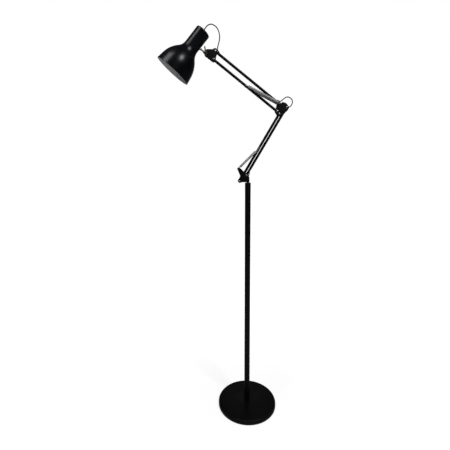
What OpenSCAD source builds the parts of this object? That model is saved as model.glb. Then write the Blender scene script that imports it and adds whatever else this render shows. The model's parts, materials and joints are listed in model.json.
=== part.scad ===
// Adjustable arm floor lamp: round base, straight post, two spring-balanced
// parallelogram arms and a tilting bell shade. Millimetres, +Z up.
// The origin is on the floor, on the post's axis. The arms lie in the XZ plane.

/* [Base] */
// Diameter of the round base
base_d = 260; // [220:5:320]
// Height of the base's top at its shoulder
base_lip = 20; // [18:1:26]
// Height of the base's top at its centre
base_h = 28; // [26:1:36]
// Radius of the rounded shoulder
base_edge_r = 8; // [5:1:12]
// Sheet thickness of the base cover
base_wall = 1.5; // [1:0.1:2]
// Thickness of the ballast disc
weight_t = 10.5; // [8:0.5:12]
// Thickness of the floor pad
pad_t = 3; // [2:0.5:3]

/* [Post] */
// Height of the post's top above the floor
post_top = 1016; // [700:1:1300]
// Outer diameter of the post tube
post_d = 24; // [20:0.5:28]
// Wall of the post tube
post_wall = 1.5; // [1:0.1:2]
// Diameter of the swivel spigot
spigot_d = 9; // [8:0.5:10]
// Length of the spigot below the post's top
spigot_len = 50; // [35:1:60]

/* [Arms] */
// Length of the lower arm between pivots
lower_len = 309; // [240:1:400]
// Lean of the lower arm above horizontal
lower_angle = 59.3; // [58:0.1:100]
// Length of the upper arm between pivots
upper_len = 318; // [240:1:400]
// Direction of the upper arm, from the elbow
upper_angle = 142; // [120:0.1:175]
// Outer diameter of an arm rod
rod_d = 10.5; // [9:0.5:11]
// Wall of an arm rod
rod_wall = 1.2; // [0.8:0.1:1.4]
// Distance between the two base pivots
base_gap = 37; // [35:0.5:42]
// Distance between the two elbow pivots of the upper arm
elbow_gap = 30.6; // [30:0.1:40]

/* [Brackets] */
// Sheet thickness of the bracket plates
plate_t = 2; // [1.5:0.5:3]
// Diameter of a pivot rivet's shank
rivet_d = 4; // [3:0.5:4]
// Diameter of a rivet's head
rivet_head_d = 8; // [7:0.5:9]

/* [Springs] */
// Outer diameter of a spring coil
spring_d = 9.6; // [8:0.2:11]
// Wire diameter of a spring
wire_d = 1.4; // [1:0.1:1.8]
// Distance of the lower spring pin from the base pivot
lower_hook_at = 155; // [130:1:200]
// Distance of the upper spring pin from the elbow pivot
upper_hook_at = 159; // [130:1:200]

/* [Shade] */
// Direction in which the shade points
shade_angle = -130.6; // [-150:0.1:-95]
// Length of the shade along its axis
shade_len = 190; // [175:1:220]
// Outer diameter of the shade's cylindrical cap
cap_d = 58.5; // [54:0.5:64]
// Sheet thickness of the shade
shade_wall = 1; // [0.8:0.1:1.5]
// Length of the straight cap before the flare
cap_len = 72; // [68:0.5:84]
// Radius of the hollow flare below the cap
flare_r = 47.5; // [40:0.5:52]
// Steepest angle of the flare
flare_angle = 42; // [38:1:46]
// Radius of the bell's round shoulder
bell_r = 110; // [96:1:120]
// Angle of the skirt at the rim
skirt_angle = 8.5; // [6:0.5:12]
// Diameter of the stem between bracket and shade
stem_d = 6; // [5:0.5:7]
// Distance from the tilt pivot to the shade's axis
stem_reach = 58; // [56:1:75]
// Distance of the stem from the back of the cap
stem_from_back = 56; // [54:1:60]

/* [Cord] */
// Diameter of the lead
cord_d = 4; // [3.4:0.1:4.2]

/* [Hidden] */
$fn = 48;

// Clearances: play is a free gap between moving pieces, fit a running fit on
// the radius, and snug the gap between pieces that are fixed to each other.
play = 0.38;
fit = 0.05;
snug = 0.02;

// Places in the arm plane, as [x, z]
function dir(a) = [cos(a), sin(a)];
function unit(v) = v / norm(v);
p2 = [-6, post_top + 30];
p1 = p2 - base_gap * dir(40.3);
horn = p1 + [-6, 50.5];
q1 = p1 + lower_len * dir(lower_angle);
q2 = p2 + lower_len * dir(lower_angle);
e1 = q1 + [-8.7, 10.5];
e2 = e1 + elbow_gap * dir(76);
h1 = e1 + upper_len * dir(upper_angle);
h2 = e2 + upper_len * dir(upper_angle);
tilt = h1 + [-30, 22];
stem_angle = shade_angle + 270;
cap_back = tilt + stem_reach * dir(stem_angle) - stem_from_back * dir(shade_angle);
lower_hook = p1 + lower_hook_at * dir(lower_angle);
upper_hook = e1 + upper_hook_at * dir(upper_angle);

// Layers across the arm plane, counted from its middle
rod_r = rod_d / 2;
flange_t = 0.8;
flange_out = rod_r + snug + flange_t;
plate_in = flange_out + play;
plate_out = plate_in + plate_t;
spring_y = plate_out + spring_d / 2 + play;
pin_end = spring_y + 3;

// Rod ends, bushes and the slots where the lead leaves a rod
rod_end_r = rod_r + 0.6;
bush_d = rivet_d + 2;
bush_flange_d = 9;
slot_from = 7;
slot_to = 26;
slot_w = cord_d + 1;

// Base and post
base_r = base_d / 2;
foot_gap = 1.2;
cord_z = 8;
bend_r = 8;
channel_w = cord_d + 2.5;
channel_top = cord_z + cord_d / 2 + 1;
boss_r = 26;
boss_drop = (base_h - base_lip) * pow(boss_r / (base_r - 2 * base_edge_r), 2);
recess_r = 13;
nipple_d = 10;
nipple_low = cord_z + bend_r;
nut_low = nipple_low + 0.6;
nut_t = 5.4;
washer_t = 1.5;
recess_top = nut_low + nut_t + washer_t;
gland_d = 7;
gland_in = base_wall + 1.6;
gland_out = 1.4;
plug_len = 25;
bush_cap_t = 3;
clip_t = 1.2;
cord_turn_z = post_top - spigot_len - 12;
foot_low = post_top + 3;
foot_h = 16;

// Shade: arcs of its profile, from the back of the cap
cap_r = cap_d / 2;
cap_edge_r = 4;
flare_end = [cap_len + flare_r * sin(flare_angle),
             cap_r + flare_r * (1 - cos(flare_angle))];
bell_mid = flare_end + bell_r * [sin(flare_angle), -cos(flare_angle)];
skirt_start = bell_mid + bell_r * [-sin(skirt_angle), cos(skirt_angle)];
rim_r = skirt_start[1] + (shade_len - skirt_start[0]) * tan(skirt_angle);

// Lampholder and bulb, along the shade's axis from the back of the cap
holder_r = 17;
holder_from = 3;
holder_to = 52;
socket_from = 24;
shell_r = 14.2;
shell_t = 0.6;
bulb_r = 30;
bulb_mid = 103;
bulb_neck_r = 12.6;
glass_t = 1;

// Colours
black = [0.07, 0.08, 0.10];
steel = [0.66, 0.66, 0.67];
iron = [0.25, 0.25, 0.26];
nylon = [0.15, 0.15, 0.16];
brass = [0.72, 0.58, 0.30];
rubber = [0.06, 0.06, 0.06];

// ---- Shared shapes ----

// Move children to a place in the arm plane
module at(p) translate([p[0], 0, p[1]]) children();

// Turn +X to a direction in the arm plane; +Z goes to its left-hand side
module along(a) rotate([0, -a, 0]) children();

// A cylinder across the arm plane, centred on it
module across(d, w) rotate([90, 0, 0]) cylinder(d = d, h = w, center = true);

// A cylinder across the arm plane, from one depth to another
module across_from(d, y0, y1) translate([0, y0, 0])
    rotate([-90, 0, 0]) cylinder(d = d, h = y1 - y0);

// Outline with rounded corners, from points given as [x, z, radius]
function corner(a, b, c, r, n = 6) =
    let (u = unit(a - b), v = unit(c - b), ang = acos(u * v),
         s = b + u * r / tan(ang / 2), e = b + v * r / tan(ang / 2),
         m = b + unit(u + v) * r / sin(ang / 2), f = s - m,
         w = cross(f, e - m) > 0 ? 1 : -1)
    [for (i = [0:n]) let (k = w * (180 - ang) * i / n)
        m + [f[0] * cos(k) - f[1] * sin(k), f[0] * sin(k) + f[1] * cos(k)]];
function xy(p) = [p[0], p[1]];
function rounded(p) = [for (i = [0:len(p) - 1])
    each corner(xy(p[(i + len(p) - 1) % len(p)]), xy(p[i]), xy(p[(i + 1) % len(p)]), p[i][2])];
function lobe(p, x, z, r) = [p[0] + x, p[1] + z, r];

// A bracket plate on one side of the arm, bored for its shanks
module plate(side, outline, holes, bore) color(black) difference() {
    translate([0, side * (plate_in + plate_t / 2), 0]) rotate([90, 0, 0])
        linear_extrude(plate_t, center = true) polygon(rounded(outline));
    for (h = holes) at(h) across(bore, 4 * plate_out);
}

// A domed rivet head standing on the outer face of a plate
module rivet_head(side) {
    rise = 2;
    ball_r = (pow(rivet_head_d / 2, 2) + rise * rise) / (2 * rise);
    intersection() {
        translate([0, side * (plate_out + rise - ball_r), 0]) sphere(ball_r);
        translate([0, side * (plate_out + rise / 2), 0]) across(rivet_head_d + 1, rise);
    }
}

// A pivot rivet through both plates
module rivet() {
    across(rivet_d, 2 * plate_out + 0.02);
    rivet_head(1);
    rivet_head(-1);
}

// A long pin that carries a spring on each side, from its middle outwards
module spring_pin() {
    across(rivet_d, 2 * pin_end);
    for (s = [-1, 1]) translate([0, s * (pin_end - 0.5), 0]) across(rivet_d + 2, 1);
}

// A tube with trimmed round ends and a bush hole at each pivot
module arm_rod(p, a, len, main) color(black) at(p) along(a) difference() {
    intersection() {
        translate([-rod_r - 2, 0, 0]) rotate([0, 90, 0]) cylinder(d = rod_d, h = len + rod_d + 4);
        union() {
            translate([0, -rod_d, -rod_d]) cube([len, 2 * rod_d, 2 * rod_d]);
            for (x = [0, len]) translate([x, 0, 0]) across(2 * rod_end_r, 2 * rod_d);
        }
    }
    translate([-rod_d, 0, 0]) rotate([0, 90, 0])
        cylinder(d = rod_d - 2 * rod_wall, h = len + 2 * rod_d);
    for (x = [0, len]) translate([x, 0, 0]) across(bush_d + 2 * fit, 2 * rod_d);
    if (main) for (x = [slot_from, len - slot_to])
        translate([x, -slot_w / 2, -rod_d]) cube([slot_to - slot_from, slot_w, rod_d]);
}

// The two flanged bushes of a rod, bored for the rivets
module rod_bushes(p, a, len) color(nylon) for (x = [0, len])
    at(p + x * dir(a)) difference() {
        union() {
            across(bush_d, 2 * flange_out);
            for (s = [-1, 1]) translate([0, s * (flange_out - flange_t / 2), 0])
                across(bush_flange_d, flange_t);
        }
        across(rivet_d + 2 * fit, 4 * rod_d);
    }

// A tension spring's outer form between two pins: coil sleeve, hooks and eyes
module spring(a, b, side, coil_from, coil_to) color(steel) {
    span = norm(b - a);
    eye_r = rivet_d / 2 + 0.2 + wire_d / 2;
    at(a) translate([0, side * spring_y, 0]) along(atan2(b[1] - a[1], b[0] - a[0])) {
        difference() {
            translate([coil_from, 0, 0]) rotate([0, 90, 0])
                cylinder(d = spring_d, h = coil_to - coil_from);
            translate([coil_from - 1, 0, 0]) rotate([0, 90, 0])
                cylinder(d = spring_d - 2 * wire_d, h = coil_to - coil_from + 2);
        }
        for (x = [coil_from, coil_to - wire_d]) translate([x, -wire_d / 2, -spring_d / 2 + wire_d / 2])
            cube([wire_d, wire_d, spring_d - wire_d]);
        for (x = [[eye_r, coil_from + wire_d / 2], [coil_to - wire_d / 2, span - eye_r]])
            translate([x[0], 0, 0]) rotate([0, 90, 0]) cylinder(d = wire_d, h = x[1] - x[0]);
        for (x = [0, span]) translate([x, 0, 0]) rotate([90, 0, 0])
            rotate_extrude() translate([eye_r, 0]) circle(d = wire_d);
    }
}

// A smooth curve through points, n steps between each two
function curve_at(a, b, c, d, t) = 0.5 * (2 * b + (c - a) * t
    + (2 * a - 5 * b + 4 * c - d) * t * t + (3 * b - a - 3 * c + d) * t * t * t);
function curve(p, n) = let (m = len(p) - 1) [for (i = [0:m - 1], k = [0:n - 1])
    curve_at(p[max(i - 1, 0)], p[i], p[i + 1], p[min(i + 2, m)], k / n), p[m]];

// A round lead swept along a path in the arm plane, from one of its points to another.
// It starts a hair further on, so that two pieces of the line don't meet
module lead(path, first = 0, last = -1, sides = 8) color(rubber) {
    hair = 0.04;
    end = last < 0 ? len(path) - 1 : last;
    n = end - first + 1;
    rings = [for (i = [first:end])
        let (t = unit(path[min(i + 1, len(path) - 1)] - path[max(i - 1, 0)]),
             p = path[i] + (i == first ? hair : 0) * t)
        for (k = [0:sides - 1]) let (c = cos(360 * k / sides) * cord_d / 2)
            [p[0] - t[1] * c, sin(360 * k / sides) * cord_d / 2, p[1] + t[0] * c]];
    walls = [for (i = [0:n - 2], k = [0:sides - 1])
        let (a = i * sides + k, b = i * sides + (k + 1) % sides)
        each [[a, b, b + sides], [a, b + sides, a + sides]]];
    ends = [[for (k = [sides - 1:-1:0]) k], [for (k = [0:sides - 1]) (n - 1) * sides + k]];
    polyhedron(points = rings, faces = concat(walls, ends));
}

// The lead leaves a main rod by its slot: [distance from the pivot, distance off the axis]
slot_route = [[4, 8.4], [9, 7.5], [15, 5], [21, 2.2], [27, 0.5], [32, 0]];
function on_rod(p, a, s, off) = p + s * dir(a) + off * dir(a - 90);
function into_rod(p, a) = [for (r = slot_route) on_rod(p, a, r[0], r[1])];
function out_of_rod(p, a, len) = [for (i = [5:-1:0])
    on_rod(p, a, len - slot_route[i][0], slot_route[i][1])];

// Its route from the foot to the lower arm, round the elbow, and over the head
foot_top = foot_low + foot_h;
base_route = concat([[0, foot_top + 0.3], [0.3, foot_top + 3.5], on_rod(p2, lower_angle, 1, 8.5)],
    into_rod(p2, lower_angle));
elbow_route = concat(out_of_rod(p2, lower_angle, lower_len),
    [q2 + [10.5, 1.5], q2 + [19, 8.5], q2 + [24, 19], q2 + [22.5, 30], q2 + [15.5, 37.5]],
    [e2 + [33.5, 25], e2 + [22.5, 20.5], e2 + [12.5, 13], e2 + [6.5, 8.5]],
    into_rod(e2, upper_angle));
grip_len = 3.5;
grip_end = cap_back - grip_len * dir(shade_angle);
head_route = concat(out_of_rod(e2, upper_angle, upper_len),
    [h2 + [8.4, 10.8], h2 + [11, 22], h2 + [16, 41], h2 + [17, 56], h2 + [13, 73]],
    [h2 + [4, 88], h2 + [-14, 97.5], h2 + [-29, 93], grip_end + [2.6, 5.4], grip_end]);

// All of it as one line, and where each piece of it ends
line_steps = 2;
lead_line = concat(curve(base_route, line_steps), curve(elbow_route, line_steps),
    curve(head_route, line_steps), [cap_back + 14 * dir(shade_angle)]);
elbow_at = (len(base_route) - 1) * line_steps + 1;
head_at = elbow_at + (len(elbow_route) - 1) * line_steps + 1;
lead_ends = [0, 3 * line_steps, elbow_at + 5 * line_steps, elbow_at + 11 * line_steps,
    elbow_at + 15 * line_steps, head_at + 5 * line_steps, head_at + 8 * line_steps,
    head_at + 11 * line_steps, len(lead_line) - 1];
module lead_piece(i) lead(lead_line, lead_ends[i], lead_ends[i + 1]);

// Put children on the shade's axis: +Z points out of the shade, +X away from the arm
module on_shade() at(cap_back) rotate([0, 90 - shade_angle, 0]) children();

// ---- Stand ----

// Section of the domed base, out to radius r
function dome(r, top, lip, edge, low) =
    let (rise = top - lip, lean = atan(2 * rise / (r - edge)), a = r - edge + edge * sin(lean),
         mid = lip - edge * cos(lean), n = 24)
    concat([[0, low], [r, low]],
        [for (i = [0:8]) let (k = i * (90 - lean) / 8) [r - edge + edge * cos(k), mid + edge * sin(k)]],
        [for (i = [n - 1:-1:0]) let (x = a * i / n) [x, top - rise * pow(x / a, 2)]]);

module base_cover() color(black) difference() {
    rotate_extrude($fn = 128) polygon(dome(base_r, base_h, base_lip, base_edge_r, foot_gap));
    rotate_extrude($fn = 128) polygon(dome(base_r - base_wall, base_h - base_wall,
        base_lip - base_wall, base_edge_r - base_wall, foot_gap - 1));
    cylinder(d = nipple_d + 0.4, h = 2 * base_h);
    translate([0, base_r, cord_z]) across(gland_d, 20);
}

module base_weight() color(iron) difference() {
    union() {
        translate([0, 0, pad_t]) cylinder(r = base_r - base_wall - 2, h = weight_t, $fn = 128);
        translate([0, 0, pad_t]) cylinder(r = boss_r, h = base_h - base_wall - boss_drop - 0.1 - pad_t);
    }
    cylinder(d = nipple_d + 0.4, h = 2 * base_h);
    translate([0, 0, pad_t - 1]) cylinder(r = recess_r, h = recess_top - pad_t + 1);
    translate([-channel_w / 2, 0, pad_t - 1]) cube([channel_w, base_r, channel_top - pad_t + 1]);
}

module base_pad() color(rubber) cylinder(r = base_r - base_wall - 2, h = pad_t - snug, $fn = 128);

module base_nipple() color(steel) difference() {
    translate([0, 0, nipple_low]) cylinder(d = nipple_d, h = base_h + plug_len - 3 - nipple_low);
    cylinder(d = cord_d + 1.6, h = 3 * base_h);
}

module base_nut() color(steel) difference() {
    translate([0, 0, nut_low]) cylinder(d = 19.6, h = nut_t, $fn = 6);
    cylinder(d = nipple_d + 2 * snug, h = 2 * base_h);
}

module base_washer() color(steel) difference() {
    translate([0, 0, nut_low + nut_t]) cylinder(d = 22, h = washer_t);
    cylinder(d = nipple_d + 0.4, h = 2 * base_h);
}

module cord_gland() color(rubber) translate([0, base_r, cord_z]) difference() {
    union() {
        across_from(gland_d - 2 * snug, -gland_in, gland_out);
        across_from(gland_d + 3, snug + 0.1, gland_out);
        across_from(gland_d + 2, -gland_in, -base_wall - 0.3);
    }
    across(cord_d + 2 * snug, 20);
}

module post_plug() color(steel) translate([0, 0, base_h]) difference() {
    cylinder(d = post_d - 2 * post_wall - 2 * snug, h = plug_len);
    translate([0, 0, -1]) cylinder(d = nipple_d + 2 * snug, h = plug_len + 2);
}

module post() color(black) translate([0, 0, base_h]) difference() {
    cylinder(d = post_d, h = post_top - bush_cap_t - base_h);
    translate([0, 0, -1]) cylinder(d = post_d - 2 * post_wall, h = post_top);
}

module post_bush() color(nylon) translate([0, 0, post_top]) difference() {
    union() {
        translate([0, 0, -bush_cap_t]) cylinder(d = post_d, h = bush_cap_t - 1);
        translate([0, 0, -1]) cylinder(d1 = post_d, d2 = post_d - 2, h = 1);
        translate([0, 0, 4 - spigot_len])
            cylinder(d = post_d - 2 * post_wall - 2 * snug, h = spigot_len - bush_cap_t - 4);
    }
    translate([0, 0, -post_top]) cylinder(d = spigot_d + 2 * fit, h = 2 * post_top);
}

// The lead runs from the gland under the base and turns up into the post
module stand_cord() rotate([0, 0, 90]) lead(concat([[base_r + gland_out, cord_z]],
    [for (i = [0:6]) [bend_r * (1 - sin(15 * i)), cord_z + bend_r * (1 - cos(15 * i))]],
    [[0, cord_turn_z]]));

// ---- Swivel bracket on the post ----

base_outline = [
    lobe(horn, -6, 6, 5), lobe(horn, 5, 5.5, 4), lobe(p2, -9, 13, 8), lobe(p2, 1, 8.5, 6),
    lobe(p2, 8, 0, 6), lobe(p2, 11.5, -9, 5), lobe([p2[0], foot_low], 11.5, 0, 2),
    lobe(p1, 8, -4, 4), lobe(p1, -1, -7.5, 5), lobe(p1, -8.5, 1, 5), lobe(p1, 3.5, 20, 8)
];

module spigot() color(steel) translate([0, 0, post_top]) difference() {
    union() {
        translate([0, 0, -spigot_len]) cylinder(d = spigot_d, h = spigot_len + foot_low - post_top + 8);
        translate([0, 0, 0.4]) cylinder(d = spigot_d + 4, h = 1);
    }
    translate([0, 0, -spigot_len - 1]) cylinder(d = cord_d + 1, h = 2 * spigot_len);
    translate([0, 0, 2 - spigot_len]) difference() {
        cylinder(d = spigot_d + 1, h = clip_t + 0.1);
        translate([0, 0, -1]) cylinder(d = spigot_d - 1.4, h = clip_t + 2);
    }
}

module spigot_clip() color(steel) translate([0, 0, post_top - spigot_len + 2 + snug]) difference() {
    cylinder(d = spigot_d + 4, h = clip_t);
    translate([0, 0, -1]) cylinder(d = spigot_d - 1.4 + 2 * snug, h = clip_t + 2);
    translate([0, -2.5, -1]) cube([spigot_d, 5, clip_t + 2]);
}

module bracket_foot() color(black) difference() {
    translate([-10, -plate_in + snug, foot_low]) cube([15, 2 * (plate_in - snug), foot_h]);
    translate([0, 0, foot_low - 1]) cylinder(d = spigot_d + 2 * snug, h = 9 + snug);
    translate([0, 0, foot_low]) cylinder(d = cord_d + 1, h = 2 * foot_h);
}

module base_plate_front() plate(-1, base_outline, [p1, p2, horn], rivet_d + 2 * snug);
module base_plate_rear() plate(1, base_outline, [p1, p2, horn], rivet_d + 2 * snug);
module base_rivets() color(steel) for (p = [p1, p2]) at(p) rivet();

// A stud on each plate's horn; nothing crosses between the plates, where the arm swings
module horn_pins() color(steel) at(horn) for (s = [0, 180]) rotate([0, 0, s]) {
    across_from(rivet_d, plate_in + snug, pin_end);
    across_from(rivet_d + 4, plate_out + snug, plate_out + 1);
    across_from(rivet_d + 2, pin_end - 1, pin_end);
}

module swivel_cord() color(rubber) translate([0, 0, cord_turn_z + 0.05])
    cylinder(d = cord_d, h = foot_top - cord_turn_z - 0.05);
module base_cord() lead_piece(0);

lower_coil = [12, norm(lower_hook - horn) - 20];
module lower_spring_front() spring(horn, lower_hook, -1, lower_coil[0], lower_coil[1]);
module lower_spring_rear() spring(horn, lower_hook, 1, lower_coil[0], lower_coil[1]);

// ---- Lower arm ----

module lower_main_rod() arm_rod(p2, lower_angle, lower_len, true);
module lower_main_bushes() rod_bushes(p2, lower_angle, lower_len);
module lower_cord() lead_piece(1);

module lower_link_rod() difference() {
    arm_rod(p1, lower_angle, lower_len, false);
    at(lower_hook) across(rivet_d + 2 * snug, 2 * rod_d);
}
module lower_link_bushes() rod_bushes(p1, lower_angle, lower_len);
module lower_spring_pin() color(steel) at(lower_hook) spring_pin();

// ---- Elbow ----

elbow_outline = [
    lobe(e2, -8, -1, 6), lobe(e2, -2, 7, 5), lobe(e2, 6, 1, 3), lobe(e2, 8, -1.5, 2),
    lobe(e2, 12, 4.5, 3), lobe(e2, 27, 0.5, 5), lobe(q2, 9.5, 1.5, 6), lobe(q2, 4, -8.5, 6),
    lobe(q2, -8, -23.5, 8), lobe(q1, 4, -9, 6), lobe(q1, -9, -3.5, 5), lobe(e1, -8.5, -1, 5),
    lobe(e1, -4.5, 9, 8)
];

module elbow_plate_front() plate(-1, elbow_outline, [q1, q2, e1, e2], rivet_d + 2 * snug);
module elbow_plate_rear() plate(1, elbow_outline, [q1, q2, e1, e2], rivet_d + 2 * snug);
module elbow_rivets() color(steel) for (p = [q1, q2, e1]) at(p) rivet();
module elbow_pin() color(steel) at(e2) spring_pin();
module elbow_cord_a() lead_piece(2);
module elbow_cord_b() lead_piece(3);

upper_coil = [5.5, norm(upper_hook - e2) - 12];
module upper_spring_front() spring(e2, upper_hook, -1, upper_coil[0], upper_coil[1]);
module upper_spring_rear() spring(e2, upper_hook, 1, upper_coil[0], upper_coil[1]);

// ---- Upper arm ----

module upper_main_rod() arm_rod(e2, upper_angle, upper_len, true);
module upper_main_bushes() rod_bushes(e2, upper_angle, upper_len);
module upper_cord() lead_piece(4);

module upper_link_rod() difference() {
    arm_rod(e1, upper_angle, upper_len, false);
    at(upper_hook) across(rivet_d + 2 * snug, 2 * rod_d);
}
module upper_link_bushes() rod_bushes(e1, upper_angle, upper_len);
module upper_spring_pin() color(steel) at(upper_hook) spring_pin();

// ---- Head bracket and tilt clamp ----

head_outline = [
    lobe(tilt, -6.5, 2, 5), lobe(tilt, 4, 13, 7), lobe(h2, -9, 5, 5), lobe(h2, -3, 9.5, 5),
    lobe(h2, 7, 6.5, 5), lobe(h2, 6.5, -6, 6), lobe(h1, 9, 8, 8), lobe(h1, 8, -5, 5),
    lobe(h1, -1.5, -9.5, 5), lobe(tilt, -5, -6.5, 5)
];
bolt_d = 5;
washer_h = 1;
nut_y = plate_out + washer_h + 0.1;
wing_hub_h = 7;
wing_t = 5;
bolt_out = nut_y + wing_hub_h + 4;

module head_plate(side) difference() {
    plate(side, head_outline, [h1, h2], rivet_d + 2 * snug);
    at(tilt) across(bolt_d + 2 * snug, 4 * plate_out);
}
module head_plate_front() head_plate(-1);
module head_plate_rear() head_plate(1);
module head_rivets() color(steel) for (p = [h1, h2]) at(p) rivet();

module tilt_bolt() color(steel) at(tilt) {
    across_from(bolt_d, -bolt_out, plate_out + 1);
    across_from(9, plate_out + snug, plate_out + 3);
}

module tilt_washer() color(steel) at(tilt) difference() {
    across_from(12, -plate_out - washer_h, -plate_out - snug);
    across(bolt_d + 2 * snug, 4 * bolt_out);
}

module head_cord_a() lead_piece(5);
module head_cord_b() lead_piece(6);

module wing_nut() color(black) at(tilt) difference() {
    union() {
        across_from(10, -nut_y - wing_hub_h, -nut_y);
        along(98) for (s = [0, 180]) rotate([0, s, 0]) rotate([0, 0, 180]) translate([0, 0, -wing_t / 2])
            linear_extrude(wing_t) polygon(rounded([[-3, nut_y + 0.8, 0.5], [-6, nut_y + 0.8, 2],
                [-19, nut_y + 5, 3], [-21, nut_y + 12, 3], [-15, nut_y + 12.5, 3],
                [-6, nut_y + 6.4, 3], [-3, nut_y + 6.4, 0.5]]));
    }
    across(bolt_d + 2 * fit, 4 * bolt_out);
}

// The clamp block turns on the tilt bolt and holds the stem's end
block_w = plate_in - 0.3;
stem_in = 6;
module tilt_block() color(steel) at(tilt) along(stem_angle) difference() {
    union() {
        across(12, 2 * block_w);
        rotate([0, 90, 0]) cylinder(d = 2 * block_w - 2, h = 11);
    }
    across(bolt_d + 2 * fit, 4 * block_w);
    translate([stem_in - 0.4, 0, 0]) rotate([0, 90, 0]) cylinder(d = stem_d + 2 * fit, h = 20);
}

// ---- Shade ----

// Profile of the shade's outside, from the middle of the cap's back to the rim,
// moved inwards by t
function shade_profile(t) = concat(
    [[0, t]],
    [for (i = [0:6]) let (k = 90 - 15 * i)
        [cap_r - cap_edge_r + (cap_edge_r - t) * cos(k), cap_edge_r - (cap_edge_r - t) * sin(k)]],
    [for (i = [0:10]) let (k = flare_angle * i / 10)
        [cap_r + flare_r - (flare_r + t) * cos(k), cap_len + (flare_r + t) * sin(k)]],
    [for (i = [1:14]) let (k = flare_angle + (skirt_angle - flare_angle) * i / 14)
        [bell_mid[1] + (bell_r - t) * cos(k), bell_mid[0] - (bell_r - t) * sin(k)]],
    [[rim_r - t / cos(skirt_angle), shade_len]]);

module shade() color(black) on_shade() difference() {
    rotate_extrude($fn = 96) polygon(concat(shade_profile(0), [[0, shade_len]]));
    rotate_extrude($fn = 96) polygon(concat(shade_profile(shade_wall),
        [[rim_r - shade_wall / cos(skirt_angle) + tan(skirt_angle), shade_len + 1], [0, shade_len + 1]]));
    translate([0, 0, -1]) cylinder(d = nipple_d + 0.2, h = shade_wall + 2);
    translate([0, 0, stem_from_back]) rotate([0, -90, 0]) cylinder(d = stem_d + 0.2, h = cap_d);
}

// The stem has a round collar outside the cap and a thread inside it
collar_t = 5;
nut_h = 3;
module stem() color(steel) at(tilt) along(stem_angle) {
    translate([stem_in, 0, 0]) rotate([0, 90, 0])
        cylinder(d = stem_d, h = stem_reach - cap_r + shade_wall + nut_h + 2 - stem_in);
    translate([stem_reach - cap_r - collar_t - 0.1, 0, 0]) rotate([0, 90, 0])
        cylinder(d = 11, h = collar_t);
}

module stem_nut() color(steel) at(tilt) along(stem_angle) difference() {
    translate([stem_reach - cap_r + shade_wall + 1, 0, 0]) rotate([0, 90, 0])
        cylinder(d = 11, h = nut_h, $fn = 6);
    rotate([0, 90, 0]) cylinder(d = stem_d + 2 * snug, h = 2 * stem_reach);
}

module cord_grip() color(rubber) on_shade() difference() {
    union() {
        translate([0, 0, -2]) cylinder(d = 13, h = 2 - snug);
        translate([0, 0, -grip_len]) cylinder(d1 = 7, d2 = 9, h = grip_len - 2);
    }
    translate([0, 0, -1.2]) cylinder(d = nipple_d + 2 * snug, h = 8);
    translate([0, 0, -grip_len - 1]) cylinder(d = cord_d + 1, h = 2 * grip_len);
}

module lampholder() color(nylon) on_shade() difference() {
    union() {
        translate([0, 0, -1]) cylinder(d = nipple_d, h = holder_from + 2);
        translate([0, 0, holder_from]) cylinder(r1 = 11, r2 = holder_r, h = 8);
        translate([0, 0, holder_from + 8]) cylinder(r = holder_r, h = holder_to - holder_from - 8);
        translate([0, 0, holder_to - 6]) cylinder(r = holder_r + 1.5, h = 6);
    }
    translate([0, 0, -5]) cylinder(d = cord_d + 2, h = 40);
    translate([0, 0, socket_from]) cylinder(r = shell_r + snug, h = holder_to);
}

module socket_shell() color(brass) on_shade() difference() {
    translate([0, 0, socket_from + 0.5]) cylinder(r = shell_r, h = holder_to - socket_from - 2);
    translate([0, 0, socket_from + 2]) cylinder(r = shell_r - shell_t, h = holder_to);
    translate([0, 0, socket_from - 2]) cylinder(r = 6, h = holder_to);
}

// This piece goes through the cap and into the lampholder
module head_cord_c() lead_piece(7);

// Round opal bulb: a thin glass shell, open at its neck
function bulb_profile(t) = concat(
    [[bulb_neck_r - t, 56], [bulb_neck_r - t, 62]],
    [for (i = [0:18]) let (k = -62 + 152 * i / 18) [(bulb_r - t) * cos(k), bulb_mid + (bulb_r - t) * sin(k)]]);
module bulb_glass() color([0.95, 0.95, 0.92]) on_shade() rotate_extrude($fn = 64)
    polygon(concat(bulb_profile(0), [for (i = [20:-1:0]) bulb_profile(glass_t)[i]]));

module bulb_cap() color(steel) on_shade() difference() {
    union() {
        translate([0, 0, socket_from + 7]) cylinder(r = 13, h = 24);
        translate([0, 0, socket_from + 3]) cylinder(r1 = 5, r2 = 12, h = 4);
    }
    translate([0, 0, socket_from + 8]) cylinder(r = 12.2, h = 30);
}

base_cover();
base_weight();
base_pad();
base_nipple();
base_nut();
base_washer();
cord_gland();
post_plug();
post();
post_bush();
stand_cord();
spigot();
spigot_clip();
bracket_foot();
base_plate_front();
base_plate_rear();
base_rivets();
horn_pins();
swivel_cord();
base_cord();
lower_spring_front();
lower_spring_rear();
lower_main_rod();
lower_main_bushes();
lower_cord();
lower_link_rod();
lower_link_bushes();
lower_spring_pin();
elbow_plate_front();
elbow_plate_rear();
elbow_rivets();
elbow_pin();
elbow_cord_a();
elbow_cord_b();
upper_spring_front();
upper_spring_rear();
upper_main_rod();
upper_main_bushes();
upper_cord();
upper_link_rod();
upper_link_bushes();
upper_spring_pin();
head_plate_front();
head_plate_rear();
head_rivets();
tilt_bolt();
tilt_washer();
head_cord_a();
wing_nut();
tilt_block();
head_cord_b();
shade();
stem();
stem_nut();
cord_grip();
lampholder();
socket_shell();
head_cord_c();
bulb_glass();
bulb_cap();
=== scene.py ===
import json
import math

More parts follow.
